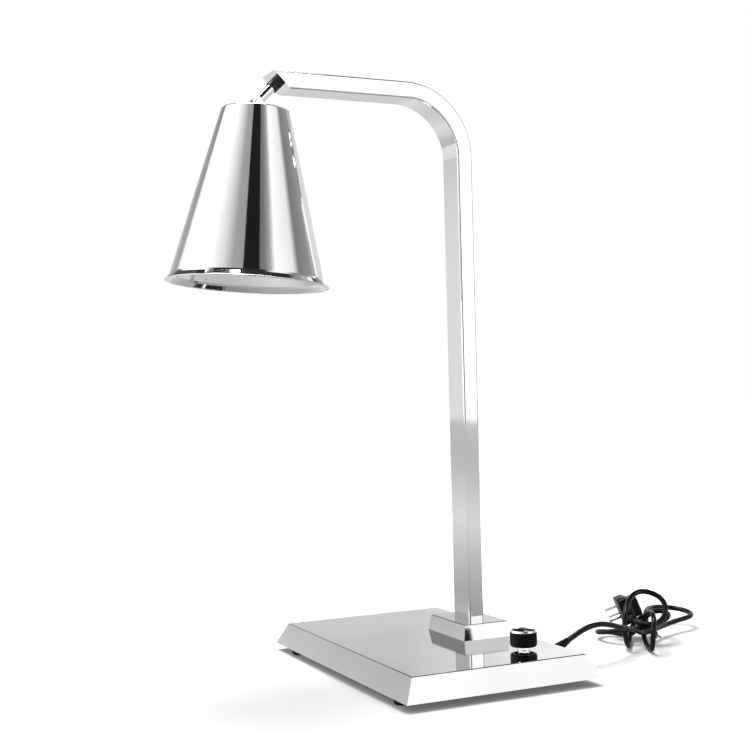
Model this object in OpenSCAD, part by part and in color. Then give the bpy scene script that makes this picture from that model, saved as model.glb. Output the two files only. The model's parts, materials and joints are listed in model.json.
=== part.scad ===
// Counter-top heat lamp warmer: a weighted sheet-metal base with a dimmer, a bent
// rectangular post, and a conical lamp head on a swivel and a tilting knuckle.
// Millimetres. +Z is up, the lamp head hangs out towards -X, and the origin is on the
// table, under the middle of the lamp's outline.

/* [Base] */
// Length of the base at the table, along the arm
base_l = 245; // [235:1:265]
// Width of the base at the table
base_w = 385; // [370:1:410]
// Height of the sheet-metal tray
tray_h = 26; // [25:1:30]
// How far each side of the tray leans in
tray_inset = 13; // [12:1:14]
// Gap under the tray's edge
tray_gap = 9; // [8:1:12]
// Sheet thickness of the tray and collar
sheet_t = 1.5; // [1.4:0.1:1.8]

/* [Column] */
// Distance of the column behind the base's middle
column_back = 60; // [55:1:64]
// Tube size along the arm
tube_x = 20; // [20:1:21]
// Tube size across the arm
tube_y = 40; // [40:1:42]
// Wall of the tube
tube_t = 1.5; // [1.4:0.1:1.6]
// Height of the arm's top
arm_top = 708; // [650:1:760]
// Outer radius of the tube's bend
bend_r = 87; // [80:1:95]
// From the column's axis to the arm's upper tip
arm_reach = 247; // [235:1:260]

/* [Lamp head] */
// Diameter of the swivel rod
rod_d = 11; // [10.5:0.1:11.5]
// From the arm's mitred end to the tilt pivot
rod_reach = 36; // [36:1:40]
// Diameter of the shade's closed top
shade_top_d = 81; // [80:1:84]
// Diameter of the shade's mouth
shade_mouth_d = 190; // [186:1:200]
// Height of the shade
shade_h = 202; // [200:1:210]
// Lean of the shade at rest, mouth outwards
shade_tilt = 4.4; // [3:0.1:6]
// Wall of the shade
shade_t = 1; // [0.9:0.1:1.2]

/* [Dimmer] */
// Diameter of the knob
knob_d = 31; // [29:1:33]
// Height of the knob
knob_h = 19; // [18:1:20]
// Distance of the knob behind the base's middle
knob_back = 63; // [60:1:66]
// Distance of the knob to the side, from the middle
knob_side = 123; // [115:1:128]

/* [Mains lead] */
// Diameter of the mains lead
cord_d = 6.5; // [6.4:0.1:7]
// Distance of the lead's exit to the side, from the middle
exit_side = 104; // [100:1:108]

/* [Hidden] */
$fn = 64;

eps = 0.05;      // running gap of a turning shaft
cut = 1;         // how far a cutter passes its wall
slope = tray_inset / tray_h;
slope_t = sheet_t * sqrt(1 + slope * slope);
tray_top = tray_gap + tray_h;
tray_under = tray_top - sheet_t;

// Arm: its mitred end faces down and out at 45 degrees
arm_mid = arm_top - tube_x / 2;
tip_x = column_back - arm_reach;
mitre = [tip_x + tube_x / 2, 0, arm_mid];
pivot = mitre + rod_reach * [-sin(45), 0, -cos(45)];

// The origin sits under the middle of the outline, between the rim and the base's back
head_drop = 9;   // from the tilt pivot down to the shade's top
rim_front = pivot.x - (head_drop + shade_h) * sin(shade_tilt) - shade_mouth_d / 2 * cos(shade_tilt);
base_x = -(rim_front + base_l / 2) / 2;

// Fasteners
m4 = 4;
m5 = 5;
foot_xy = [base_l / 2 - 15, base_w / 2 - 43];
standoff_xy = [base_l / 2 - 28, base_w / 2 - 24];
plate_t = 2;
plate_z = tray_gap + 1.5;
foot_h = plate_z;

// Column foot under the collar
collar_base = [65, 93];
collar_top = [59, 87];
collar_h = 18.5;
foot_plate = [54, 78, 4];
bolt_xy = [18, 31];
spigot_h = 12;
tube_z = tray_top + foot_plate.z;

// Shade: a cone with a short flared lip
lip_h = 7;
lip_flare = 5.5;
cone_r = shade_mouth_d / 2 - lip_flare;
wall_slope = (cone_r - shade_top_d / 2) / (shade_h - lip_h);

// Dimmer
bush_d = 10;
shaft_d = 6;
knob_gap = 4;
knob_z = tray_top + knob_gap;
ring_h = 2.2;

// Mains lead: it leaves square to the tray's sloping back wall
exit_lean = atan(1 / slope);
exit_axis = [sin(exit_lean), 0, cos(exit_lean)];
exit_rise = 15;  // from the tray's lower edge
exit_point = [base_l / 2 - slope * exit_rise, -exit_side, tray_gap + exit_rise];
gland_flange = 3;
gland_in = 9;
boot_l = 24;

// Route of the lead from the boot to the tied bundle, on the base's own axes
lead_route = [
  [153, -104, 43], [164, -104, 47], [178, -103, 49], [193, -100, 47.5], [208, -95, 43.5],
  [222, -88, 39], [236, -80, 35], [250, -71, 31], [264, -62, 27]];

// The tied hank behind the base: its low folds, its long ones, and one that stands up
hank_c = [315, -26, 0];
low_h = 24;
low_ends = [[-46, 20, 12], [-41, -45, 26], [-14, -14, 18]];
long_h = 34;
long_ends = [[-2, -8, 18], [10, 25, 14], [86, 62, 22]];
loop_at = [-9, -5, 49];
loop_r = 25;
plug_at = [-9.5, 33, 41];
plug_size = [26, 36, 36];

// ---- shared shapes ----

module on_base(p) {
  translate([base_x + p.x, p.y, p.z]) children();
}

module at_mitre() {
  on_base(mitre) rotate([0, -135, 0]) children();
}

module at_head() {
  on_base(pivot) rotate([0, shade_tilt, 0]) children();
}

module at_exit() {
  on_base(exit_point) rotate([0, exit_lean, 0]) children();
}

module ring(r_out, r_in, h) {
  difference() {
    cylinder(r = r_out, h = h);
    translate([0, 0, -cut]) cylinder(r = r_in, h = h + 2 * cut);
  }
}

module hexagon(across_flats, h) {
  cylinder(d = across_flats / cos(30), h = h, $fn = 6);
}

module hex_nut(across_flats, bore, h) {
  difference() {
    hexagon(across_flats, h);
    translate([0, 0, -cut]) cylinder(d = bore, h = h + 2 * cut);
  }
}

module four_corners(xy) {
  for (sx = [-1, 1], sy = [-1, 1]) translate([sx * xy.x, sy * xy.y, 0]) children();
}

// Two-dimensional rectangle with true round corners
module round_rect(x, y, r) {
  square([x - 2 * r, y], center = true);
  square([x, y - 2 * r], center = true);
  for (sx = [-1, 1], sy = [-1, 1]) translate([sx * (x / 2 - r), sy * (y / 2 - r)]) circle(r = r);
}

// Points of an arc in a plane, from angle a0 to a1
function arc(c, r, a0, a1, n) = [for (i = [0:n]) let (a = a0 + (a1 - a0) * i / n)
  [c.x + r * cos(a), c.y + r * sin(a)]];

// Half outline of a sloping wall that rounds into a flat top
function eave(half, inset, h, r) =
  let (lean = atan(h / inset), turn = 90 - lean, run = r * tan((90 - turn) / 2))
  concat([[half, 0]], arc([half - inset - run, h - r], r, turn, 90, 5));

function mirrored(pts) = concat(pts, [for (i = [len(pts) - 1:-1:0]) [-pts[i].x, pts[i].y]]);

// Truncated pyramid with rounded top edges
module pyramid(l, w, inset_l, inset_w, h, r) {
  intersection() {
    rotate([90, 0, 0]) linear_extrude(w + 2 * cut, center = true)
      polygon(mirrored(eave(l / 2, inset_l, h, r)));
    rotate([90, 0, 90]) linear_extrude(l + 2 * cut, center = true)
      polygon(mirrored(eave(w / 2, inset_w, h, r)));
  }
}

// A smooth curve through hand-picked points, and a tube along it
function spline(p, i, t) =
  let (a = p[max(i - 1, 0)], b = p[i], c = p[min(i + 1, len(p) - 1)], d = p[min(i + 2, len(p) - 1)])
  0.5 * (2 * b + (c - a) * t + (2 * a - 5 * b + 4 * c - d) * t * t
    + (3 * b - a - 3 * c + d) * t * t * t);
function smooth(p, n) = concat(
  [for (i = [0:len(p) - 2], k = [0:n - 1]) spline(p, i, k / n)], [p[len(p) - 1]]);
function unit(v) = v / norm(v);
function across(t) = unit(cross(t, abs(t.z) > 0.9 ? [1, 0, 0] : [0, 0, 1]));

module tube(path, d, sides) {
  n = len(path);
  dirs = [for (i = [0:n - 1]) unit(path[min(i + 1, n - 1)] - path[max(i - 1, 0)])];
  sweep = [for (i = [0:n - 1]) let (u = across(dirs[i]), v = cross(dirs[i], u))
    for (k = [0:sides - 1]) let (a = 360 * k / sides) path[i] + d / 2 * (cos(a) * u + sin(a) * v)];
  walls = [for (i = [0:n - 2], k = [0:sides - 1]) let (j = (k + 1) % sides)
    [i * sides + k, (i + 1) * sides + k, (i + 1) * sides + j, i * sides + j]];
  start = [for (k = [0:sides - 1]) k];
  end = [for (k = [sides - 1:-1:0]) (n - 1) * sides + k];
  polyhedron(points = sweep, faces = concat(walls, [start], [end]));
}

// ---- base ----

module base_tray() {
  l_in = base_l - 2 * slope_t;
  w_in = base_w - 2 * slope_t;
  h_in = tray_h - sheet_t;
  color("gainsboro") difference() {
    on_base([0, 0, tray_gap]) pyramid(base_l, base_w, tray_inset, tray_inset, tray_h, 2);
    on_base([0, 0, tray_gap]) pyramid(l_in, w_in, slope * h_in, slope * h_in, h_in, 1);
    on_base([0, 0, tray_gap - cut]) cube([l_in - 1, w_in - 1, 2 * cut + 1], center = true);
    on_base([column_back, 0, tray_under - cut]) {
      four_corners(bolt_xy) cylinder(d = m5 + 0.5, h = sheet_t + 2 * cut);
      cylinder(d = 12, h = sheet_t + 2 * cut);
    }
    on_base([knob_back, -knob_side, tray_under - cut])
      cylinder(d = bush_d + 0.4, h = sheet_t + 2 * cut);
    at_exit() translate([0, 0, -2 * cut - sheet_t]) cylinder(d = 12.4, h = sheet_t + 4 * cut);
  }
}

module six_posts() {
  for (sx = [-1, 1], sy = [-1, 0, 1]) translate([sx * standoff_xy.x, sy * standoff_xy.y, 0]) children();
}

module plate_standoffs() {
  color("silver") on_base([0, 0, plate_z + plate_t]) six_posts()
    ring(4, 1.7, tray_under - plate_z - plate_t);
}

module base_plate() {
  low = base_l - 2 * slope_t - 4;
  wide = base_w - 2 * slope_t - 4;
  color("dimgray") on_base([0, 0, plate_z]) difference() {
    linear_extrude(plate_t) round_rect(low, wide, 6);
    translate([0, 0, -cut]) {
      six_posts() cylinder(d = m4 + 0.4, h = plate_t + 2 * cut);
      four_corners(foot_xy) cylinder(d = m4 + 0.4, h = plate_t + 2 * cut);
    }
  }
}

// Pan-head screw, tip up, with its head's flat face at the origin
module pan_screw(d, head_d, head_h, l) {
  difference() {
    union() {
      translate([0, 0, -head_h]) cylinder(d1 = head_d - 1.6, d2 = head_d, h = head_h);
      cylinder(d = d, h = l);
    }
    for (turn = [0, 90]) rotate([0, 0, turn]) translate([0, 0, -head_h])
      cube([head_d * 0.55, 0.9, 2], center = true);
  }
}

module plate_screws() {
  color("silver") on_base([0, 0, plate_z]) six_posts() pan_screw(3.3, 7.5, 2.4, 10);
}

module rubber_feet() {
  color("black") on_base([0, 0, 0]) four_corners(foot_xy) difference() {
    rotate_extrude() polygon([[0, 0], [7.5, 0], [8.5, 1], [10.5, foot_h], [0, foot_h]]);
    translate([0, 0, -cut]) cylinder(d = 8.4, h = 5 + cut);
    translate([0, 0, -cut]) cylinder(d = m4 + 0.4, h = foot_h + 2 * cut);
  }
}

module foot_screws() {
  color("silver") on_base([0, 0, 5]) four_corners(foot_xy) pan_screw(m4, 7.6, 2.6, 13);
}

module foot_nuts() {
  color("silver") on_base([0, 0, plate_z + plate_t]) four_corners(foot_xy) hex_nut(7, m4 + 0.1, 3.2);
}

// ---- column ----

module column_collar() {
  dx = (collar_base.x - collar_top.x) / 2;
  dy = (collar_base.y - collar_top.y) / 2;
  color("gainsboro") on_base([column_back, 0, tray_top]) difference() {
    pyramid(collar_base.x, collar_base.y, dx, dy, collar_h, 1.5);
    translate([0, 0, -eps]) pyramid(collar_base.x - 2 * sheet_t, collar_base.y - 2 * sheet_t,
      dx, dy, collar_h - sheet_t, 0.8);
    translate([0, 0, collar_h - 3]) linear_extrude(5) round_rect(tube_x + 0.4, tube_y + 0.4, 2.7);
  }
}

module column_foot() {
  inner = [tube_x - 2 * tube_t - 0.2, tube_y - 2 * tube_t - 0.2];
  color("darkgray") on_base([column_back, 0, tray_top]) difference() {
    union() {
      linear_extrude(foot_plate.z) round_rect(foot_plate.x, foot_plate.y, 3);
      linear_extrude(foot_plate.z + spigot_h) round_rect(inner.x, inner.y, 1.5);
    }
    translate([0, 0, foot_plate.z]) linear_extrude(spigot_h + cut) round_rect(inner.x - 6, inner.y - 6, 1);
    translate([0, 0, -cut]) cylinder(d = 9, h = foot_plate.z + 2 * cut);
    translate([0, 0, -cut]) four_corners(bolt_xy) cylinder(d = m5 + 0.5, h = foot_plate.z + 2 * cut);
    for (sy = [-1, 1]) translate([0, sy * inner.y / 2, foot_plate.z + 6]) rotate([90, 0, 0])
      cylinder(d = m4, h = 12, center = true);
  }
}

module column_bolts() {
  color("silver") on_base([column_back, 0, tray_top + foot_plate.z]) four_corners(bolt_xy) {
    hexagon(8, 3.5);
    translate([0, 0, -13]) cylinder(d = m5, h = 13 + eps);
  }
}

module column_nuts() {
  color("silver") on_base([column_back, 0, tray_under - 5]) four_corners(bolt_xy) {
    hex_nut(8, m5 + 0.1, 4);
    translate([0, 0, 4]) ring(5, m5 / 2 + 0.2, 1);
  }
}

module column_set_screws() {
  color("dimgray") on_base([column_back, 0, tube_z + 6]) for (side = [0, 180]) rotate([0, 0, side])
    translate([0, tube_y / 2 - tube_t - 3.6, 0]) rotate([-90, 0, 0]) difference() {
      cylinder(d = m4 - 0.1, h = 5.6);
      translate([0, 0, 4]) hexagon(2, 3);
    }
}

module tray_grommet() {
  color("black") on_base([column_back, 0, tray_under - 2]) {
    ring(7.5, 3.4, 2);
    translate([0, 0, 2]) ring(5.9, 3.4, sheet_t);
    translate([0, 0, 2 + sheet_t]) ring(4.4, 3.4, foot_plate.z + 1);
  }
}

module tube_profile() {
  difference() {
    round_rect(tube_x, tube_y, 2.5);
    round_rect(tube_x - 2 * tube_t, tube_y - 2 * tube_t, 1);
  }
}

// Keeps what lies behind the mitre plane, less a margin
module behind_mitre(margin) {
  intersection() {
    children();
    at_mitre() translate([0, 0, -margin - 200]) cube([400, 100, 400], center = true);
  }
}

end_plate_t = 2.4;

module column_tube() {
  bend_z = arm_top - bend_r;
  bend_x = column_back + tube_x / 2 - bend_r;
  color("gainsboro") difference() {
    union() {
      on_base([column_back, 0, tube_z]) linear_extrude(bend_z - tube_z) tube_profile();
      on_base([bend_x, 0, bend_z]) rotate([90, 0, 0]) rotate_extrude(angle = 90)
        translate([bend_r - tube_x / 2, 0]) tube_profile();
      difference() {
        on_base([bend_x, 0, arm_mid]) rotate([0, -90, 0]) linear_extrude(bend_x - tip_x) tube_profile();
        at_mitre() translate([0, 0, 50 - end_plate_t]) cube([100, 60, 100], center = true);
      }
    }
    on_base([column_back, 0, tube_z + 6]) rotate([90, 0, 0])
      cylinder(d = m4, h = tube_y + 2, center = true);
  }
}

module arm_end_plate() {
  color("gainsboro") difference() {
    intersection() {
      on_base([tip_x + 40, 0, arm_mid]) rotate([0, -90, 0]) linear_extrude(60)
        round_rect(tube_x, tube_y, 2.5);
      at_mitre() translate([0, 0, -end_plate_t / 2]) cube([60, 60, end_plate_t], center = true);
    }
    at_mitre() translate([0, 0, -end_plate_t - cut]) cylinder(d = 10, h = end_plate_t + 2 * cut);
  }
}

// ---- swivel and knuckle ----

swivel_bore = 7.6;
bush_l = 9.5;
rod_start = bush_l + 0.3;
tongue_w = 5;
shoulder = 7.5;  // from the pivot back to the rod's full section
clip_z = -end_plate_t - 1.05;

module swivel_bush() {
  color("dimgray") at_mitre() difference() {
    union() {
      cylinder(d = 14.6, h = bush_l);
      translate([0, 0, -end_plate_t]) cylinder(d = 9.9, h = end_plate_t + eps);
    }
    translate([0, 0, -end_plate_t - cut]) cylinder(d = swivel_bore, h = bush_l + end_plate_t + 2 * cut);
  }
}

module swivel_rod() {
  color("lightgray") at_mitre() difference() {
    union() {
      translate([0, 0, -6]) cylinder(d = swivel_bore - 2 * eps, h = rod_start + 6 + eps);
      translate([0, 0, rod_start]) cylinder(d = rod_d, h = rod_reach - rod_start - shoulder);
      translate([0, 0, rod_reach]) rotate([90, 0, 0]) cylinder(d = rod_d, h = tongue_w, center = true);
      translate([0, 0, rod_reach - shoulder / 2]) cube([rod_d - 2, tongue_w, shoulder + 1], center = true);
    }
    translate([0, 0, clip_z - eps]) ring(6, swivel_bore / 2 - 0.5, 1);
    translate([0, 0, -7]) cylinder(d = 4, h = 7 + rod_reach - shoulder - 4);
    translate([0, 0, rod_reach]) rotate([90, 0, 0]) cylinder(d = m4 + 0.1, h = rod_d, center = true);
  }
}

module swivel_clip() {
  color("dimgray") at_mitre() translate([0, 0, clip_z]) ring(5.4, swivel_bore / 2 - 0.4, 0.9);
}

ear_in = tongue_w / 2 + 0.15;
ear_out = 6.9;
fork_stem = 8.5;

module head_fork() {
  color("lightgray") at_head() difference() {
    union() {
      for (side = [-1, 1]) {
        translate([0, side * (ear_in + ear_out) / 2, 0]) {
          rotate([90, 0, 0]) cylinder(d = 12.6, h = ear_out - ear_in, center = true);
          translate([0, 0, -3.5]) cube([12.6, ear_out - ear_in, 7], center = true);
        }
      }
      translate([0, 0, -head_drop]) cylinder(d = 19, h = head_drop - 6.3);
      translate([0, 0, -head_drop - fork_stem]) cylinder(d = 9.8, h = fork_stem + eps);
    }
    translate([0, 0, -head_drop - fork_stem - cut]) cylinder(d = 4.5, h = head_drop + fork_stem - 4);
    rotate([90, 0, 0]) cylinder(d = m4, h = 20, center = true);
  }
}

module pivot_screw() {
  color("silver") at_head() rotate([90, 0, 0]) difference() {
    union() {
      translate([0, 0, ear_out]) cylinder(d1 = 8, d2 = 6.6, h = 2.4);
      translate([0, 0, -ear_out - 4]) cylinder(d = m4, h = 2 * ear_out + 4 + eps);
    }
    translate([0, 0, ear_out + 2.4]) cube([9, 0.9, 2], center = true);
  }
}

module pivot_nut() {
  color("silver") at_head() rotate([-90, 0, 0]) translate([0, 0, ear_out]) {
    ring(4.4, m4 / 2 + 0.1, 0.6);
    translate([0, 0, 0.6]) hex_nut(7, m4 + 0.1, 3);
  }
}

bracket_t = 1.5;
fork_nut_h = 4;

module fork_nut() {
  color("silver") at_head() translate([0, 0, -head_drop - shade_t - bracket_t - fork_nut_h])
    hex_nut(14, 9.9, fork_nut_h);
}

// ---- shade ----

function shade_r(z) = shade_top_d / 2 - wall_slope * (z + head_drop);

module lamp_shade() {
  top = -head_drop;
  base = top - shade_h;
  lip_top = base + lip_h;
  lip_r = shade_mouth_d / 2 - 1;
  color("gainsboro") at_head() rotate_extrude($fn = 160) {
    polygon(concat(
      [[5.1, top]],
      arc([shade_top_d / 2 - 2.5, top - 2.5], 2.5, 90, 14, 6),
      [[cone_r - 0.4, lip_top + 1.6], [cone_r + 0.6, lip_top - 0.6], [lip_r, base + 0.9]],
      [[lip_r - 0.2, base + 0.1], [cone_r - 0.2, lip_top - 1.4], [cone_r - 1.5, lip_top + 1.2]],
      arc([shade_top_d / 2 - 2.5, top - 2.5], 1.5, 14, 90, 6),
      [[5.1, top - shade_t]]));
    translate([lip_r, base + 0.9]) circle(r = 0.9, $fn = 24);
  }
}

// ---- lamp holder and bulb ----

holder_top = -head_drop - shade_t - bracket_t - fork_nut_h - 14;
holder_h = 44;
holder_r = 20;
thread_r = 13.2;

module holder_bracket() {
  arm_x = holder_r + 2.6;
  arm_top_z = -head_drop - shade_t - bracket_t;
  low = holder_top - 10;
  color("silver") at_head() difference() {
    union() {
      translate([-arm_x, -7, arm_top_z]) cube([2 * arm_x, 14, bracket_t]);
      for (side = [-1, 1]) translate([side * (arm_x - bracket_t / 2), 0, (arm_top_z + low) / 2 + eps])
        cube([bracket_t, 14, arm_top_z - low + 2 * eps], center = true);
    }
    translate([0, 0, arm_top_z - cut]) cylinder(d = 10.2, h = bracket_t + 2 * cut);
    translate([0, 0, holder_top - 6]) rotate([0, 90, 0]) cylinder(d = 3.6, h = 3 * arm_x, center = true);
  }
}

module lamp_holder() {
  color("ivory") at_head() translate([0, 0, holder_top]) difference() {
    union() {
      rotate_extrude() polygon([[0, 0], [15, 0], [17, -2], [18.4, -12], [holder_r, -20],
        [holder_r, -holder_h + 1.5], [holder_r - 1.5, -holder_h], [0, -holder_h]]);
      translate([0, 0, -6]) cube([2 * holder_r + 2, 12, 8], center = true);
    }
    translate([0, 0, -holder_h - cut]) cylinder(r = thread_r + 1.4, h = holder_h + cut - 12);
    for (side = [-1, 1]) {
      translate([side * 7, 0, -13]) cylinder(d = 3.4, h = 14);
      translate([side * (holder_r - 1), 0, -6]) rotate([0, 90, 0]) cylinder(d = 3.4, h = 8, center = true);
    }
  }
}

module bracket_screws() {
  color("silver") at_head() translate([0, 0, holder_top - 6]) for (side = [0, 180]) rotate([0, 0, side])
    translate([holder_r + 2.6, 0, 0]) rotate([0, -90, 0]) pan_screw(3.3, 6.5, 2.2, 6);
}

module holder_shell() {
  color("goldenrod") at_head() translate([0, 0, holder_top - holder_h + 4])
    ring(thread_r + 1.2, thread_r + 0.5, holder_h - 12 - 5.5);
}

module holder_contact() {
  color("goldenrod") at_head() translate([0, 0, holder_top - 12]) {
    translate([0, 0, -1.2]) cylinder(d = 16, h = 1.2);
    translate([0, 0, -3]) cylinder(d = 7, h = 2);
  }
}

cap_top = holder_top - 15.2;
cap_h = 25;
glass_top = cap_top - cap_h;
glass_h = 118;
bulb_r = 61;
glass_t = 0.9;

// Outer outline of the reflector bulb, from the neck down to the middle of its face
function bulb_outline(grow) = concat(
  [[13 + grow, 0], [15.5 + grow, -8]],
  [for (i = [1:9]) let (u = i / 9, s = (1 - cos(180 * u)) / 2)
    [15.5 + grow + (bulb_r - 17.5) * pow(s, 0.9), -8 - (glass_h - 48) * u]],
  arc([bulb_r - 16, 26 - glass_h], 16 + grow, 30, -62, 8),
  [[30, -glass_h + 1.2 - grow], [0, -glass_h - grow]]);

module bulb_glass() {
  color([1, 0.92, 0.86, 0.6]) at_head() translate([0, 0, glass_top]) rotate_extrude($fn = 128)
    polygon(concat(bulb_outline(0), [[0, -glass_h + glass_t]],
      [for (i = [len(bulb_outline(-glass_t)) - 2:-1:0]) bulb_outline(-glass_t)[i]]));
}

module bulb_cap() {
  pitch = 3.6;
  color("silver") at_head() translate([0, 0, glass_top]) {
    rotate_extrude() polygon(concat(
      [[0, eps], [12.9, eps]],
      [for (i = [0:4], e = [[12.2, 0.2], [thread_r - 0.4, 0.45], [12.2, 0.7]])
        [e.x, 2 + pitch * (i + e.y)]],
      [[12, 21], [5.5, cap_h - 2], [0, cap_h - 2]]));
    translate([0, 0, cap_h - 2]) cylinder(d = 9, h = 1.8);
  }
}

module bulb_stem() {
  color("lightcyan") at_head() translate([0, 0, glass_top]) {
    translate([0, 0, -12]) cylinder(d1 = 5, d2 = 11, h = 11.6);
    for (side = [-1, 1]) translate([side * 1.4, 0, -50]) rotate([0, side * 14, 0])
      cylinder(d = 1.2, h = 40);
  }
}

module bulb_filament() {
  color("orange") at_head() translate([0, 0, glass_top - 52]) rotate([0, 90, 0])
    cylinder(d = 2.4, h = 22, center = true);
}

// ---- dimmer ----

module at_dimmer(z) {
  on_base([knob_back, -knob_side, z]) children();
}

module dimmer_body() {
  color("darkslategray") at_dimmer(tray_under) difference() {
    union() {
      translate([0, 0, -17]) cylinder(d = 27, h = 16.8);
      translate([-16, -4, -17]) cube([12, 8, 3]);
      translate([0, 0, -1]) cylinder(d = bush_d, h = 1 + sheet_t + 3.6);
    }
    translate([0, 0, -6]) cylinder(d = shaft_d + 2 * eps, h = 14);
  }
}

module dimmer_nut() {
  color("silver") at_dimmer(tray_top) {
    ring(7, bush_d / 2 + 0.1, 0.8);
    translate([0, 0, 0.8]) hex_nut(12, bush_d + 0.1, 2.2);
  }
}

module dimmer_shaft() {
  color("silver") at_dimmer(tray_under - 5.5) cylinder(d = shaft_d, h = knob_z + 12 - tray_under + 5.5);
}

module dimmer_knob() {
  flutes = 60;
  r = knob_d / 2;
  top = knob_h - ring_h;
  color("black") at_dimmer(knob_z) difference() {
    rotate_extrude() polygon(concat([[0, 0], [r - 2.4, 0]], arc([r - 2.4, 2.4], 2.4, -60, 0, 4),
      [[r, top], [r - 2.2, top], [r - 2.2, top + 0.8], [r - 4.5, top - 0.6], [0, top - 1.2]]));
    translate([0, 0, -cut]) cylinder(d = shaft_d + 0.1, h = 12.2 + cut);
    translate([0, 0, -cut]) ring(r - 4, 7.6, 9 + cut);
    for (i = [0:flutes - 1]) rotate([0, 0, 360 * (i + 0.5) / flutes]) translate([r + 0.25, 0, 3.4])
      cylinder(d = 1, h = top - 5, $fn = 16);
    translate([-1, 0, 7]) rotate([0, 90, 0]) cylinder(d = 3.1, h = r + 3);
  }
}

module knob_ring() {
  r = knob_d / 2;
  top = knob_h - ring_h;
  color("silver") at_dimmer(knob_z + top) rotate_extrude()
    polygon([[r - 2.1, eps], [r, eps], [r, 0.5], [r - 0.9, ring_h], [r - 1.5, ring_h], [r - 2.1, 1.2]]);
}

module knob_set_screw() {
  color("dimgray") at_dimmer(knob_z + 7) rotate([0, 90, 0]) translate([0, 0, shaft_d / 2 + 0.05])
    difference() {
      cylinder(d = 3, h = 8);
      translate([0, 0, 6.5]) hexagon(1.5, 3);
    }
}

// ---- inlet and wiring ----

module cable_gland() {
  color("black") at_exit() difference() {
    union() {
      rotate_extrude() polygon([[0, 0], [8.5, 0], [8.5, 1.6], [7.4, gland_flange], [0, gland_flange]]);
      translate([0, 0, -gland_in]) cylinder(d = 12, h = gland_in + eps);
    }
    translate([0, 0, -gland_in - cut]) cylinder(d = cord_d + 0.2, h = gland_in + gland_flange + 2 * cut);
  }
}

module gland_nut() {
  color("black") at_exit() translate([0, 0, -sheet_t - 4.1]) hex_nut(14, 12.1, 4);
}

block_xy = [30, -104];
block_z = plate_z + plate_t;

module terminal_block() {
  color("ivory") on_base([block_xy.x, block_xy.y, block_z]) difference() {
    union() {
      translate([-9, -17, 0]) cube([18, 34, 3]);
      for (k = [-1, 0, 1]) translate([-9, k * 11 - 4, 2]) cube([18, 8, 11]);
    }
    for (k = [-1, 0, 1]) {
      translate([-10, k * 11, 7]) rotate([0, 90, 0]) cylinder(d = 3.4, h = 20);
      for (s = [-1, 1]) translate([s * 5, k * 11, 7]) cylinder(d = 3.6, h = 8);
    }
  }
}

module terminal_screws() {
  color("goldenrod") on_base([block_xy.x, block_xy.y, block_z + 9])
    for (k = [-1, 0, 1], s = [-1, 1]) translate([s * 5, k * 11, 0]) difference() {
      cylinder(d = 3.4, h = 3.4);
      translate([0, 0, 3.4]) cube([5, 0.7, 1.4], center = true);
    }
}

earth_xy = [60, -60];

module earth_screw() {
  color("goldenrod") on_base([earth_xy.x, earth_xy.y, block_z]) {
    cylinder(d = m4, h = 12);
    hexagon(7, 3);
    translate([0, 0, 6.6]) hexagon(7, 3);
  }
}

lead_in = 14;
cores_from = exit_point - (lead_in + 2) * exit_axis;
dimmer_wall = 17;

module inlet_lead() {
  color("black") at_exit() translate([0, 0, -lead_in]) cylinder(d = cord_d, h = lead_in + gland_flange);
}

module wire(points) {
  tube(smooth(points, 5), 2.4, 8);
}

module live_wires() {
  from = cores_from + [0, -2.2, 0];
  tab = [knob_back, -knob_side, block_z + 7];
  color("saddlebrown") on_base([0, 0, 0]) {
    wire([from, from + [-7, -2, 0], from + [-14, -8, 2], tab + [dimmer_wall, 4, 0]]);
    wire([tab + [-dimmer_wall, 0, 0], tab + [-dimmer_wall - 4, 2, 0], [43, -115, block_z + 7],
      [39.6, -115, block_z + 7]]);
  }
}

module neutral_wire() {
  from = cores_from + [0, 0.6, 1.6];
  color("royalblue") on_base([0, 0, 0])
    wire([from, from + [-10, 2, 2], [80, -98, 22], [56, -103, block_z + 8], [39.6, -104, block_z + 7]]);
}

module earth_wire() {
  from = cores_from + [0, 2.4, -1];
  color("yellowgreen") on_base([0, 0, 0])
    wire([from, from + [-8, 4, 1], [84, -84, 19], [70, -68, block_z + 6], [65, -62, block_z + 4.8]]);
}

module column_lead() {
  bend_z = arm_top - bend_r;
  mid_r = bend_r - tube_x / 2;
  bend_x = column_back + tube_x / 2 - bend_r;
  low = [[19, -93, block_z + 7], [8, -90, block_z + 7], [6, -70, 19], [22, -40, 19], [44, -14, 20],
    [56, -3, 25]];
  turn = [for (a = [0:15:90]) [bend_x + mid_r * cos(a), 0, bend_z + mid_r * sin(a)]];
  color("black") on_base([0, 0, 0]) tube(concat(smooth(low, 4),
    [[column_back, 0, 34], [column_back, 0, 44], [column_back, 0, 320]], turn,
    [[mitre.x + 60, 0, arm_mid], [mitre.x + 18, 0, arm_mid]]), 5.6, 8);
}

module rod_lead() {
  color("black") at_mitre() translate([0, 0, -5.5]) cylinder(d = 3.6, h = rod_reach - shoulder + 0.5);
}

module holder_leads() {
  color("black") at_head() for (side = [-1, 1])
    tube(smooth([[side, 0, -head_drop], [side, 0, -head_drop - fork_stem], [side * 3, 0, holder_top + 8],
      [side * 6.4, 0, holder_top + 3.5], [side * 7, 0, holder_top - 2], [side * 7, 0, holder_top - 10]], 4),
      1.7, 8);
}

// ---- mains lead, lying behind the base ----

module cord_boot() {
  color("black") at_exit() translate([0, 0, gland_flange])
    cylinder(d1 = 12.4, d2 = cord_d + 1, h = boot_l - gland_flange);
}

module power_cord() {
  color("black") on_base([0, 0, 0]) tube(smooth(concat(
    [for (run = [0, 8]) exit_point + (boot_l + run) * exit_axis], lead_route), 2), cord_d, 10);
}

// ends holds the middle and the radius of each round end of the slab
module slab(ends, h) {
  linear_extrude(h) hull() for (end = ends) translate([end.x, end.y]) circle(r = end.z);
}

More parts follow.
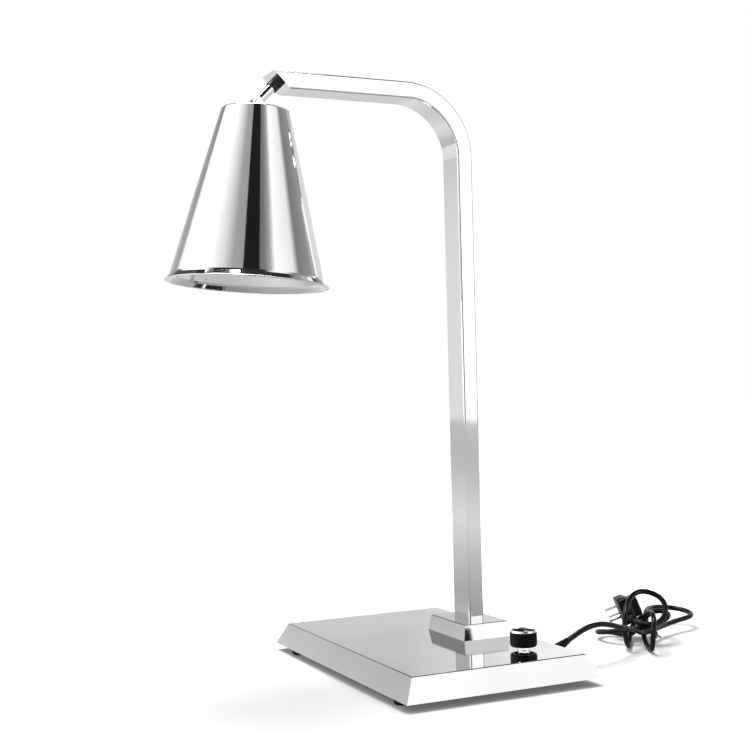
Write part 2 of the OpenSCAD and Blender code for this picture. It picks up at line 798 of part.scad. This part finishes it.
module cord_bundle() {
  color("black") on_base(hank_c) {
    slab(low_ends, low_h);
    slab(long_ends, long_h);
    translate(loop_at) rotate([90, 0, -34]) cylinder(r = loop_r, h = cord_d + 1, center = true);
  }
}

// The plug leans on the hank: its pins point along the local X, its flat back stands on Z
module at_plug() {
  on_base(hank_c + plug_at) rotate([0, 0, 155]) rotate([0, 21, 0]) children();
}

module plug_body() {
  color("black") at_plug() {
    translate([-plug_size.x / 2, 0, 0]) rotate([0, 90, 0])
      linear_extrude(plug_size.x) round_rect(plug_size.z, plug_size.y, 6);
    hull() {
      translate([4, 14, -9]) sphere(d = 13, $fn = 32);
      translate([-2, 31, -7]) sphere(d = cord_d + 2, $fn = 32);
    }
  }
}

module plug_pins() {
  color("silver") at_plug() translate([plug_size.x / 2 + 8.5, 0, 0]) rotate([90, 0, 0]) {
    translate([0, 0, -9]) cube([17, 1.8, 6.4], center = true);
    for (side = [-1, 1]) translate([0, side * 7, 4]) rotate([side * 30, 0, 0])
      cube([17, 1.8, 6.4], center = true);
  }
}

module twist_tie() {
  color("black") on_base(hank_c + [-5.5, -20.7, long_h + 0.8]) rotate([0, 0, -25])
    cube([3, 11, 1.6], center = true);
}

base_tray();
plate_standoffs();
base_plate();
plate_screws();
rubber_feet();
foot_screws();
foot_nuts();
column_collar();
column_foot();
column_bolts();
column_nuts();
column_set_screws();
tray_grommet();
column_tube();
arm_end_plate();
swivel_bush();
swivel_rod();
swivel_clip();
head_fork();
pivot_screw();
pivot_nut();
fork_nut();
lamp_shade();
holder_bracket();
bracket_screws();
lamp_holder();
holder_shell();
holder_contact();
bulb_glass();
bulb_cap();
bulb_stem();
bulb_filament();
dimmer_body();
dimmer_nut();
dimmer_shaft();
dimmer_knob();
knob_ring();
knob_set_screw();
cable_gland();
gland_nut();
terminal_block();
terminal_screws();
earth_screw();
inlet_lead();
live_wires();
neutral_wire();
earth_wire();
column_lead();
rod_lead();
holder_leads();
cord_boot();
power_cord();
cord_bundle();
plug_body();
plug_pins();
twist_tie();
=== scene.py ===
# Heat lamp warmer: materials, the mains lead, its plug and the studio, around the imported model.
# Metres. +Z is up, the lamp head hangs out towards -X, and the floor is at z = 0.
import json
import math

import bmesh
import bpy
import numpy as np
from mathutils import Matrix, Vector


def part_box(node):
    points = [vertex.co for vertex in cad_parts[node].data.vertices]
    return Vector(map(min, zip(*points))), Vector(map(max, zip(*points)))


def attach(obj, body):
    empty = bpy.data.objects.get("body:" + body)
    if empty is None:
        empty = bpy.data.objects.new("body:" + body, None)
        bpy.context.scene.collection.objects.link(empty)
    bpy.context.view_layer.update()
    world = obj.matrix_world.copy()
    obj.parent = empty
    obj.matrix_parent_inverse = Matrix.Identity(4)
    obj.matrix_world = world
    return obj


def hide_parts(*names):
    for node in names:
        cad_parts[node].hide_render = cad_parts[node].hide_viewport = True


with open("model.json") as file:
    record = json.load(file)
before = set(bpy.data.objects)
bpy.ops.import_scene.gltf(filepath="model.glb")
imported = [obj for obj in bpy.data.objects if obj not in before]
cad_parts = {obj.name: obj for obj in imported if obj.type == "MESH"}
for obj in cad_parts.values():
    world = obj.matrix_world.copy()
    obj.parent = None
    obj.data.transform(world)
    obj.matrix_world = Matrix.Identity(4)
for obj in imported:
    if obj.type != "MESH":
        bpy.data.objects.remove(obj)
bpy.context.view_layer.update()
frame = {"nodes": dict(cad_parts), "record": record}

MM = 0.001


# ---------------------------------------------------------------- places, taken from the frame

def middle(node):
    low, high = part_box(node)
    return (Vector(low) + Vector(high)) / 2


tray = middle("base_tray")
BASE = Vector((tray.x, tray.y, 0))          # the base's own axes start here, on the table


def on_base(point):
    """A point in millimetres on the base's own axes, as part.scad gives it."""
    return BASE + Vector(point) * MM


# ---------------------------------------------------------------- camera

CAMERA_AT = Vector((-0.6157, -1.3941, 0.3441))
HEADING = math.radians(25.04)               # turned from +Y towards +X
PITCH = math.radians(0.435)
ROLL = math.radians(-1.427)


def make_camera():
    camera = bpy.data.objects.new("camera", bpy.data.cameras.new("camera"))
    bpy.context.scene.collection.objects.link(camera)
    camera.data.sensor_width = 36
    camera.data.lens = 61.56
    camera.data.clip_start = 0.05
    camera.matrix_world = (Matrix.Translation(CAMERA_AT)
                           @ Matrix.Rotation(-HEADING, 4, "Z")
                           @ Matrix.Rotation(math.pi / 2 + PITCH, 4, "X")
                           @ Matrix.Rotation(ROLL, 4, "Z"))
    bpy.context.scene.camera = camera


# ---------------------------------------------------------------- mesh helpers

def add_piece(name, mesh, material, body="stand"):
    piece = bpy.data.objects.new(name, mesh)
    bpy.context.scene.collection.objects.link(piece)
    mesh.materials.append(material)
    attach(piece, body)
    return piece


def shade_by_angle(mesh, degrees):
    for face in mesh.polygons:
        face.use_smooth = True
    mesh.set_sharp_from_angle(angle=math.radians(degrees))


def frames_along(path):
    """A tangent and two normals at each point of a path, turned as little as possible."""
    tangents = np.gradient(path, axis=0)
    tangents /= np.linalg.norm(tangents, axis=1)[:, None]
    start = np.array([0, 0, 1.0]) if abs(tangents[0][2]) < 0.9 else np.array([1.0, 0, 0])
    normal = start - tangents[0] * tangents[0].dot(start)
    frames = []
    for tangent in tangents:
        normal = normal - tangent * tangent.dot(normal)
        normal /= np.linalg.norm(normal)
        frames.append((tangent, normal, np.cross(tangent, normal)))
    return frames


def skin(path, radii, sides, name):
    """A tube of quads along a path, with its own radius at each point."""
    mesh = bpy.data.meshes.new(name)
    build = bmesh.new()
    rings = []
    for point, radius, (_, across, up) in zip(path, radii, frames_along(path)):
        ring = []
        for k in range(sides):
            turn = 2 * math.pi * k / sides
            outward = math.cos(turn) * across + math.sin(turn) * up
            ring.append(build.verts.new(point + radius * outward))
        rings.append(ring)
    for a, b in zip(rings, rings[1:]):
        for k in range(sides):
            build.faces.new((a[k], a[(k + 1) % sides], b[(k + 1) % sides], b[k]))
    build.faces.new(list(reversed(rings[0])))
    build.faces.new(rings[-1])
    bmesh.ops.recalc_face_normals(build, faces=build.faces)
    build.to_mesh(mesh)
    build.free()
    return mesh


def between(points, steps):
    """A smooth path through its points, each stretch cut into the same number of steps."""
    points = np.array(points, float)
    path = []
    for i in range(len(points) - 1):
        a, b = points[max(i - 1, 0)], points[i]
        c, d = points[i + 1], points[min(i + 2, len(points) - 1)]
        for k in range(steps):
            t = k / steps
            path.append(0.5 * (2 * b + (c - a) * t + (2 * a - 5 * b + 4 * c - d) * t ** 2
                               + (3 * b - a - 3 * c + d) * t ** 3))
    path.append(points[-1])
    return np.array(path)


def even_steps(path, step):
    along = np.concatenate([[0], np.cumsum(np.linalg.norm(np.diff(path, axis=0), axis=1))])
    at = np.linspace(0, along[-1], int(along[-1] / step) + 1)
    return np.stack([np.interp(at, along, path[:, k]) for k in range(3)], axis=1)


def ease(path, step, width):
    """Evens out a path's bends over a width, as a stiff cord does, and keeps its ends."""
    reach = int(3 * width / step)
    weights = np.exp(-0.5 * (np.arange(-reach, reach + 1) * step / width) ** 2)
    weights /= weights.sum()
    before = 2 * path[0] - path[1:reach + 1][::-1]
    after = 2 * path[-1] - path[-reach - 1:-1][::-1]
    padded = np.concatenate([before, path, after])
    return np.stack([np.convolve(padded[:, k], weights, "valid") for k in range(3)], axis=1)


# ---------------------------------------------------------------- node helpers

class Recipe:
    """A node material: a Principled shader, and short calls for the nodes that feed it."""

    def __init__(self, name, color, roughness, metallic=0.0, **inputs):
        self.material = bpy.data.materials.new(name)
        self.material.use_nodes = True
        self.nodes = self.material.node_tree.nodes
        self.links = self.material.node_tree.links
        self.shader = self.nodes["Principled BSDF"]
        self.coordinates = self.nodes.new("ShaderNodeTexCoord").outputs["Object"]
        self.set(self.shader, **{"Base Color": (*color, 1), "Roughness": roughness,
                                 "Metallic": metallic})
        self.set(self.shader, **{key.replace("_", " "): value for key, value in inputs.items()})

    def set(self, node, **values):
        for key, value in values.items():
            node.inputs[key].default_value = value

    def link(self, source, node, socket):
        self.links.new(source, node.inputs[socket])

    def stretched(self, scale):
        mapping = self.nodes.new("ShaderNodeMapping")
        mapping.inputs["Scale"].default_value = scale
        self.link(self.coordinates, mapping, "Vector")
        return mapping.outputs["Vector"]

    def noise(self, vector, scale=1.0, detail=3.0, roughness=0.55):
        node = self.nodes.new("ShaderNodeTexNoise")
        self.set(node, Scale=scale, Detail=detail, Roughness=roughness)
        self.link(vector, node, "Vector")
        return node.outputs["Fac"]

    def span(self, value, low, high, out_low, out_high):
        node = self.nodes.new("ShaderNodeMapRange")
        self.link(value, node, "Value")
        self.set(node, **{"From Min": low, "From Max": high, "To Min": out_low, "To Max": out_high})
        return node.outputs["Result"]

    def blend(self, factor, first, second):
        node = self.nodes.new("ShaderNodeMix")
        node.data_type = "RGBA"
        self.link(factor, node, 0)
        node.inputs[6].default_value = (*first, 1)
        node.inputs[7].default_value = (*second, 1)
        return node.outputs[2]

    def bump(self, height, strength, distance):
        node = self.nodes.new("ShaderNodeBump")
        self.set(node, Strength=strength, Distance=distance)
        self.link(height, node, "Height")
        self.link(node.outputs["Normal"], self.shader, "Normal")

    def feed(self, source, socket):
        self.link(source, self.shader, socket)


def polished_metal(name, color, roughness, lines, spread=0.03, depth=0.03, shade=0.94):
    """Metal with fine polishing lines. lines holds the lines' fineness along X, Y and Z."""
    metal = Recipe(name, color, roughness, 1.0)
    strokes = metal.noise(metal.stretched(lines), 1.0, 4.0, 0.6)
    cloud = metal.noise(metal.stretched((9, 9, 9)), 1.0, 2.0)
    metal.feed(metal.span(strokes, 0.3, 0.7, roughness, roughness + spread), "Roughness")
    darker = tuple(part * shade for part in color)
    metal.feed(metal.blend(metal.span(cloud, 0.35, 0.65, 0, 1), darker, color), "Base Color")
    metal.bump(strokes, depth, 0.0002)
    return metal.material


def moulded(name, color, roughness, grain=900, depth=0.12, lift=1.35, **inputs):
    """Moulded plastic or rubber: a fine grain, and soft patches of gloss and colour."""
    plastic = Recipe(name, color, roughness, **inputs)
    fine = plastic.noise(plastic.stretched((grain, grain, grain)), 1.0, 2.0)
    patch = plastic.noise(plastic.stretched((35, 35, 35)), 1.0, 3.0)
    plastic.feed(plastic.span(patch, 0.3, 0.7, roughness - 0.06, roughness + 0.08), "Roughness")
    lighter = tuple(part * lift for part in color)
    plastic.feed(plastic.blend(plastic.span(patch, 0.35, 0.7, 0, 1), color, lighter), "Base Color")
    plastic.bump(fine, depth, 0.0001)
    return plastic.material


def glass(name, color, roughness):
    clear = Recipe(name, color, roughness, IOR=1.5)
    clear.set(clear.shader, **{"Transmission Weight": 1.0})
    ripple = clear.noise(clear.stretched((60, 60, 60)), 1.0, 2.0)
    clear.feed(clear.span(ripple, 0.3, 0.7, roughness, roughness + 0.05), "Roughness")
    return clear.material


def make_materials():
    steel = (0.66, 0.66, 0.67)
    return {
        "polished_steel": polished_metal("polished_steel", steel, 0.045, (30, 900, 30)),
        "tube_steel": polished_metal("tube_steel", steel, 0.04, (700, 700, 14)),
        "spun_steel": polished_metal("spun_steel", steel, 0.04, (12, 12, 900)),
        "collar_steel": polished_metal("collar_steel", (0.49, 0.49, 0.50), 0.07,
                                       (60, 60, 1400), 0.05, 0.06, 0.9),
        "rod_steel": polished_metal("rod_steel", (0.68, 0.68, 0.69), 0.06, (1200, 1200, 60)),
        "zinc_steel": polished_metal("zinc_steel", (0.60, 0.61, 0.64), 0.28,
                                     (160, 160, 160), 0.16, 0.1, 0.86),
        "base_sheet": polished_metal("base_sheet", (0.52, 0.53, 0.55), 0.34,
                                     (40, 500, 40), 0.12, 0.1, 0.86),
        "dark_steel": polished_metal("dark_steel", (0.05, 0.05, 0.055), 0.32,
                                     (300, 300, 300), 0.15, 0.1, 0.7),
        "knob_ring": polished_metal("knob_ring", (0.86, 0.86, 0.87), 0.09,
                                    (60, 60, 3000), 0.05, 0.05, 0.95),
        "brass": polished_metal("brass", (0.78, 0.57, 0.25), 0.18, (200, 200, 200), 0.1, 0.08, 0.9),
        "bulb_cap": polished_metal("bulb_cap", (0.72, 0.72, 0.70), 0.25, (200, 200, 600), 0.1, 0.1, 0.9),
        "pin_metal": polished_metal("pin_metal", (0.84, 0.84, 0.83), 0.16,
                                    (400, 60, 400), 0.08, 0.05, 0.93),
        "filament": polished_metal("filament", (0.30, 0.29, 0.28), 0.4, (900, 900, 900), 0.1, 0.1, 0.8),
        "foot_rubber": moulded("foot_rubber", (0.010, 0.010, 0.010), 0.66),
        "black_plastic": moulded("black_plastic", (0.002, 0.002, 0.0023), 0.26, Specular_IOR_Level=0.12),
        "ceramic": moulded("ceramic", (0.80, 0.78, 0.71), 0.2, 300, 0.05, 1.08, Coat_Weight=0.6),
        "wire_brown": moulded("wire_brown", (0.20, 0.08, 0.035), 0.4),
        "wire_blue": moulded("wire_blue", (0.04, 0.12, 0.50), 0.4),
        "wire_green": moulded("wire_green", (0.22, 0.45, 0.06), 0.4),
        "cord": moulded("cord", (0.0016, 0.0016, 0.0018), 0.27, 700, 0.1, 1.5, Specular_IOR_Level=0.24),
        "plug_plastic": moulded("plug_plastic", (0.0016, 0.0016, 0.0018), 0.34, 800, 0.15, 1.5,
                                Specular_IOR_Level=0.2),
        "tie": moulded("tie", (0.004, 0.004, 0.004), 0.3, Specular_IOR_Level=0.2),
        "bulb_glass": glass("bulb_glass", (0.97, 0.95, 0.93), 0.45),
        "clear_glass": glass("clear_glass", (0.96, 0.98, 0.98), 0.02),
    }


# Nodes whose polish runs another way than their slot's, or whose tone differs from it
FINISH = {"column_tube": "tube_steel", "lamp_shade": "spun_steel", "column_collar": "collar_steel"}
# Nodes with broad flat faces, whose edges are eased: the width of the rounding in millimetres
EASED = {"base_tray": 0.5, "column_collar": 0.5, "arm_end_plate": 0.35,
         "head_fork": 0.3, "pivot_screw": 0.3, "pivot_nut": 0.3, "swivel_bush": 0.2}


def finish_nodes(materials):
    for part in frame["record"]["subparts"]:
        node = frame["nodes"][part["node"]]
        node.data.materials.clear()
        node.data.materials.append(materials[FINISH.get(part["node"], part["material_slot"])])
        shade_by_angle(node.data, 32)
        if part["node"] in EASED:
            edge = node.modifiers.new("edge", "BEVEL")
            edge.width = EASED[part["node"]] * MM
            edge.segments = 2
            edge.limit_method = "ANGLE"
            edge.angle_limit = math.radians(32)
            edge.harden_normals = True


# ---------------------------------------------------------------- the mains lead

CORD_D = 6.5
EXIT = (115, -104, 24)
EXIT_AXIS = (0.894, 0, 0.447)
BOOT_L = 24
CORD_STEP = 2.0                             # between the points of the finished path
CORD_EASE = 7.0                             # the width over which its bends even out

# The lead on the base's own axes, from the boot to the hank
LEAD = [
    (153, -104, 43), (164, -104, 47), (178, -103, 49), (193, -100, 47.5), (208, -95, 43.5),
    (222, -88, 39), (236, -80, 35), (250, -71, 31), (264, -62, 27)]

# The tied hank, fold by fold
HANK = [
    # through the tie
    (277, -52, 22), (289, -42, 17), (308, -34, 16), (323, -24, 16),
    # the long fold on the right
    (339, -14, 15), (356, -5, 15), (373, 2, 16), (391, 7, 17), (408, 11, 18), (421, 23, 19),
    (424, 41, 21), (414, 57, 23), (397, 63, 25), (380, 59, 26), (366, 48, 27), (353, 34, 27),
    (342, 20, 25), (332, 5, 20), (321, -10, 16), (309, -23, 14),
    # the fold that hangs in front, its bend seen from its edge
    (295, -38, 11), (285, -58, 5), (277, -76, 3.6), (269, -90, 8), (264, -99, 25), (270, -94, 43),
    (279, -79, 48), (290, -61, 46), (298, -45, 40), (302, -28, 30), (303, -11, 14), (305, 7, 5),
    # the low fold on the left
    (303, 21, 4), (291, 34, 6), (273, 32, 9), (262, 12, 12), (268, -14, 17), (285, -33, 22),
    (302, -41, 24),
    # the short fold on the right
    (318, -45, 29), (333, -41, 33), (342, -27, 36), (342, -10, 36), (333, 4, 31), (320, 9, 22),
    (305, 1, 16),
    # the fold that hangs on the left, and rises into the loop that stands up
    (289, -16, 8), (278, -31, 3.6), (266, -45, 3.6), (254, -58, 11), (248, -63, 25), (250, -60, 41),
    (259, -52, 53), (269, -43, 60), (280, -36, 65), (291, -33, 69), (302, -36, 69), (311, -42, 65),
    (318, -50, 59), (319, -55, 48), (315, -56, 37), (307, -52, 29),
    # the end that goes into the plug
    (297, -44, 27), (290, -32, 30), (292, -17, 33)]


def cord_path():
    start = Vector(EXIT) + BOOT_L * Vector(EXIT_AXIS)
    first = [tuple(start + run * Vector(EXIT_AXIS)) for run in (-6, 0, 8)]
    path = even_steps(between(first + LEAD + HANK, 8), CORD_STEP)
    path = ease(path, CORD_STEP, CORD_EASE)
    path[:, 2] = np.maximum(path[:, 2], CORD_D / 2 + 0.1)
    return np.array([on_base(point) for point in path])


def make_boot(material):
    """A ribbed strain relief: a taper with five grooves, turned about the exit's axis."""
    profile = [(0, 6.3), (1.2, 6.7), (3, 6.7), (3.6, 6.2)]
    for k in range(5):
        x = 4.4 + 3.3 * k
        outer = 6.2 - 0.42 * k
        profile += [(x, outer), (x + 1.7, outer - 0.2),
                    (x + 1.9, outer - 1.1), (x + 3.0, outer - 1.25)]
    profile += [(20.8, 4.1), (23.2, 3.9), (23.8, 3.4)]
    axis = np.array(EXIT_AXIS)
    root = np.array(EXIT) + 0.4 * axis
    path = np.array([on_base(root + x * axis) for x, _ in profile])
    mesh = skin(path, [radius * MM for _, radius in profile], 40, "boot_detail")
    shade_by_angle(mesh, 40)
    return add_piece("boot_detail", mesh, material)


# The plug's own axes: X along its pins, Z up its flat back
PLUG_AT = (305.5, 7, 41)
PLUG_TURN = (155, 21)
PLUG_SIZE = (26, 36, 36)


def plug_matrix():
    return (Matrix.Translation(on_base(PLUG_AT))
            @ Matrix.Rotation(math.radians(PLUG_TURN[0]), 4, "Z")
            @ Matrix.Rotation(math.radians(PLUG_TURN[1]), 4, "Y")
            @ Matrix.Scale(MM, 4))


def make_plug(material):
    """A moulded plug: a square plate behind the pins, which draws in to a narrower back."""
    build = bmesh.new()
    # (place along the pins' axis, share of the full size)
    stations = [(-13, 0.60), (-12.5, 0.67), (-11.5, 0.71), (-8, 0.73), (-4, 0.75), (-2, 0.80),
                (1, 0.93), (2.4, 0.985), (3.6, 1.0), (12.2, 1.0), (12.8, 0.985), (13, 0.955)]
    squareness = 0.3                        # 1 is round, 0 is square
    corners = 64
    rings = []
    for x, fill in stations:
        ring = []
        for k in range(corners):
            turn = 2 * math.pi * k / corners
            c, s = math.cos(turn), math.sin(turn)
            y = math.copysign(abs(c) ** squareness, c) * PLUG_SIZE[1] / 2 * fill
            z = math.copysign(abs(s) ** squareness, s) * PLUG_SIZE[2] / 2 * fill
            ring.append(build.verts.new((x, y, z)))
        rings.append(ring)
    for a, b in zip(rings, rings[1:]):
        for k in range(corners):
            build.faces.new((a[k], a[(k + 1) % corners], b[(k + 1) % corners], b[k]))
    build.faces.new(list(reversed(rings[0])))
    build.faces.new(rings[-1])
    bmesh.ops.recalc_face_normals(build, faces=build.faces)
    mesh = bpy.data.meshes.new("plug_detail")
    build.to_mesh(mesh)
    build.free()
    mesh.transform(plug_matrix())
    shade_by_angle(mesh, 35)
    return add_piece("plug_detail", mesh, material)


def make_plug_tail(material, cord_end, cord_before):
    """The plug's ribbed sleeve, from its side to the cord's end."""
    root = np.array(plug_matrix() @ Vector((5, 13, -9)))
    outward = (cord_before - cord_end) / np.linalg.norm(cord_before - cord_end)
    tip = cord_end + outward * 0.007
    path = between([root, (root + cord_end) / 2 + np.array([0, 0, 0.0005]), cord_end, tip], 12)
    path = even_steps(path, 0.0007)
    radii = []
    for k in range(len(path)):
        t = k / (len(path) - 1)
        rib = 0.45 if math.sin(2 * math.pi * t * 6) > 0 and 0.2 < t < 0.92 else 0.0
        radii.append((6.4 - 2.2 * t - rib) * MM)
    mesh = skin(path, radii, 28, "plug_tail")
    shade_by_angle(mesh, 40)
    return add_piece("plug_tail", mesh, material)


def make_tie(material):
    """A plastic-coated wire round the hank's waist, with its two ends twisted together."""
    waist = (310, -33, 26)
    across = Vector((0.423, 0.906, 0))
    along = Vector((0.906, -0.423, 0))

    def at(angle, side, height, shift=0.0):
        turn = math.radians(angle)
        return (Vector(waist) + across * side * math.cos(turn)
                + Vector((0, 0, 1)) * height * math.sin(turn) + along * shift)

    pieces = []
    hoop = [at(angle, 21, 12, 3 * math.sin(math.radians(angle))) for angle in range(-160, 195, 15)]
    path = even_steps(between([on_base(point) for point in hoop], 6), 0.0015)
    pieces.append(skin(path, [0.9 * MM] * len(path), 10, "tie_hoop"))
    knot = at(190, 21, 12)
    for side in (-1, 1):
        twist = []
        for k in range(13):
            turn = 2.2 * math.pi * k / 12 + (math.pi if side < 0 else 0)
            spread = 0.9 if k < 10 else 0.9 + 0.9 * (k - 9)
            twist.append(Vector(knot) + Vector((0, 0, -k)) - across * 0.3 * k
                         + along * (spread * math.cos(turn) + 0.4 * k)
                         + across * spread * 0.6 * math.sin(turn))
        path = even_steps(between([on_base(point) for point in twist], 6), 0.001)
        path[:, 2] = np.maximum(path[:, 2], 0.0012)
        pieces.append(skin(path, [0.85 * MM] * len(path), 10, "tie_end"))
    build = bmesh.new()
    for mesh in pieces:
        build.from_mesh(mesh)
    joined = bpy.data.meshes.new("tie_detail")
    build.to_mesh(joined)
    build.free()
    shade_by_angle(joined, 40)
    return add_piece("tie_detail", joined, material)


def make_cord(materials):
    path = cord_path()
    mesh = skin(path, [CORD_D / 2 * MM] * len(path), 20, "mains_lead")
    shade_by_angle(mesh, 40)
    lead = add_piece("mains_lead", mesh, materials["cord"])
    boot = make_boot(materials["cord"])
    plug = make_plug(materials["plug_plastic"])
    tail = make_plug_tail(materials["plug_plastic"], path[-1], path[-4])
    tie = make_tie(materials["tie"])
    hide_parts("power_cord", "cord_bundle")
    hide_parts("cord_boot")
    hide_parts("plug_body")
    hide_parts("twist_tie")


# ---------------------------------------------------------------- studio

AIM = Vector((0.05, 0.0, 0.32))             # what the lights point at
FILL = 0.13                                 # light from all round on matt surfaces
# What polished metal sees around the lamp: (compass angle from +Y towards +X, brightness)
AROUND = [(0, 1.3), (32, 1.5), (50, 0.95), (70, 1.05), (86, 0.42), (112, 0.30), (122, 1.25),
          (152, 1.6), (160, 0.6), (170, 0.29), (177, 0.26), (178, 0.02), (204, 0.02), (205, 0.5),
          (222, 0.56), (240, 1.1), (262, 1.6), (285, 2.2), (315, 2.2), (330, 1.15), (360, 1.3)]
# and on the wall behind it: (sine of the height angle, brightness)
BEHIND = [(0.0, 1.08), (0.12, 1.02), (0.18, 0.76), (0.28, 0.56), (0.42, 0.40),
          (0.5, 0.1), (1.0, 0.1)]
IN_FRONT = (0.423, -0.906, 0.0)             # a bright wall low in front, which flat faces show
FRONT_TONE = 2.2
CEILING_TONE = 0.04


def add_world():
    """White to the camera, a bright and dark studio to reflections, and an even fill."""
    world = bpy.data.worlds.new("studio")
    world.use_nodes = True
    world.cycles.sampling_method = "NONE"   # each kind of ray then meets its own background
    nodes = world.node_tree.nodes
    link = world.node_tree.links.new
    nodes.clear()

    def node(kind, *sources, **settings):
        made = nodes.new(kind)
        for key, value in settings.items():
            setattr(made, key, value)
        for socket, source in zip(made.inputs, sources):
            if source is None:
                continue
            if isinstance(source, bpy.types.NodeSocket):
                link(source, socket)
            else:
                socket.default_value = source
        return made.outputs[0]

    def ramp(factor, stops):
        tones = nodes.new("ShaderNodeValToRGB")
        link(factor, tones.inputs["Fac"])
        steps = tones.color_ramp.elements
        while len(steps) < len(stops):
            steps.new(1.0)
        brightest = max(tone for _, tone in stops)
        for step, (place, tone) in zip(steps, stops):
            step.position = place
            step.color = (tone / brightest, tone / brightest, tone / brightest, 1)
        return node("ShaderNodeBackground", tones.outputs["Color"], brightest)

    white = (1.0, 1.0, 1.0, 1.0)
    split = nodes.new("ShaderNodeSeparateXYZ")
    link(nodes.new("ShaderNodeTexCoord").outputs["Generated"], split.inputs[0])
    x, y, z = split.outputs
    turn = node("ShaderNodeMath", node("ShaderNodeMath", x, y, operation="ARCTAN2"), 2 * math.pi,
                operation="DIVIDE")
    turn = node("ShaderNodeMath", turn, operation="FRACT")
    around = ramp(turn, [(angle / 360, tone) for angle, tone in AROUND])
    behind = ramp(z, BEHIND)
    low = node("ShaderNodeMapRange", z, 0.34, 0.30, 0.0, 1.0)
    right = node("ShaderNodeMapRange", x, -0.5, -0.4, 0.0, 1.0)
    right = node("ShaderNodeMath", right, low, operation="MAXIMUM")
    ahead = node("ShaderNodeMapRange", y, node("ShaderNodeMapRange", low, 0.0, 1.0, 0.25, 0.78),
                 node("ShaderNodeMapRange", low, 0.0, 1.0, 0.4, 0.88), 0.0, 1.0)
    ahead = node("ShaderNodeMath", ahead, right, operation="MULTIPLY")
    facing = nodes.new("ShaderNodeVectorMath")
    facing.operation = "DOT_PRODUCT"
    link(nodes.new("ShaderNodeTexCoord").outputs["Generated"], facing.inputs[0])
    facing.inputs[1].default_value = IN_FRONT
    front = node("ShaderNodeMapRange", facing.outputs["Value"], 0.93, 0.965, 0.0, 1.0)
    room = node("ShaderNodeMixShader", ahead, around, behind)
    room = node("ShaderNodeMixShader", node("ShaderNodeMath", front, low, operation="MULTIPLY"), room,
                node("ShaderNodeBackground", white, FRONT_TONE))
    room = node("ShaderNodeMixShader", node("ShaderNodeMapRange", z, 0.75, 0.8, 0.0, 1.0), room,
                node("ShaderNodeBackground", white, CEILING_TONE))
    rays = nodes.new("ShaderNodeLightPath").outputs
    room = node("ShaderNodeMixShader", rays["Is Diffuse Ray"], room,
                node("ShaderNodeBackground", white, FILL))
    room = node("ShaderNodeMixShader", rays["Is Camera Ray"], room,
                node("ShaderNodeBackground", white, 1.0))
    link(room, nodes.new("ShaderNodeOutputWorld").inputs["Surface"])
    bpy.context.scene.world = world


def add_floor():
    """White paper: lit near the lamp, and to the camera it brightens into the background. Its
    reflections are painted: to glossy rays it is a darker grey that glows brighter further out.
    """
    mesh = bpy.data.meshes.new("floor")
    mesh.from_pydata([(-9, -9, 0), (9, -9, 0), (9, 9, 0), (-9, 9, 0)], [], [(0, 1, 2, 3)])
    floor = bpy.data.objects.new("floor", mesh)
    bpy.context.scene.collection.objects.link(floor)
    paper = Recipe("floor", (0.93, 0.93, 0.93), 0.6)
    paper.set(paper.shader, **{"Specular IOR Level": 0.0})
    away = paper.nodes.new("ShaderNodeVectorMath")
    away.operation = "LENGTH"
    paper.link(paper.coordinates, away, 0)
    rays = paper.nodes.new("ShaderNodeLightPath").outputs
    # Painted reflection: glossy rays see the paper as a darker grey than the camera does, so polished
    # metal shows a dimmer floor.
    tone = paper.blend(rays["Is Glossy Ray"], (0.93, 0.93, 0.93), (0.48, 0.48, 0.48))
    paper.feed(tone, "Base Color")
    glow = None
    # Camera rays: the paper glows up into the white background far off. Glossy rays: a painted
    # reflection glow that rises with distance from the lamp.
    for ray, near, far in (("Is Camera Ray", 0.1, 0.9), ("Is Glossy Ray", 0.0, 0.66)):
        part = paper.nodes.new("ShaderNodeMath")
        part.operation = "MULTIPLY_ADD"
        paper.links.new(paper.span(away.outputs["Value"], 0.5, 1.6, near, far), part.inputs[0])
        paper.links.new(rays[ray], part.inputs[1])
        part.inputs[2].default_value = 0.0
        if glow:
            paper.links.new(glow.outputs[0], part.inputs[2])
        glow = part
    paper.set(paper.shader, **{"Emission Color": (1, 1, 1, 1)})
    paper.link(glow.outputs[0], paper.shader, "Emission Strength")
    mesh.materials.append(paper.material)


def add_light(name, direction, distance, width, height, power, seen=False):
    """A soft box at a compass direction and a height angle from the lamp, in degrees."""
    azimuth, elevation = (math.radians(angle) for angle in direction)
    away = Vector((math.sin(azimuth) * math.cos(elevation),
                   math.cos(azimuth) * math.cos(elevation), math.sin(elevation)))
    data = bpy.data.lights.new(name, "AREA")
    data.shape = "RECTANGLE"
    data.size, data.size_y = width, height
    data.energy = power
    light = bpy.data.objects.new(name, data)
    bpy.context.scene.collection.objects.link(light)
    light.location = AIM + away * distance
    light.rotation_euler = (-away).to_track_quat("-Z", "Y").to_euler()
    light.visible_camera = False
    light.visible_glossy = seen


def make_studio():
    bpy.context.scene.view_settings.view_transform = "Standard"
    add_world()
    add_floor()
    add_light("key_right", (140, 40), 2.4, 2.2, 2.2, 15)
    add_light("key_left", (297, 40), 2.4, 2.6, 2.2, 17)
    add_light("top", (330, 78), 2.0, 1.3, 1.1, 52, seen=True)


make_camera()
materials = make_materials()
make_cord(materials)
finish_nodes(materials)
make_studio()
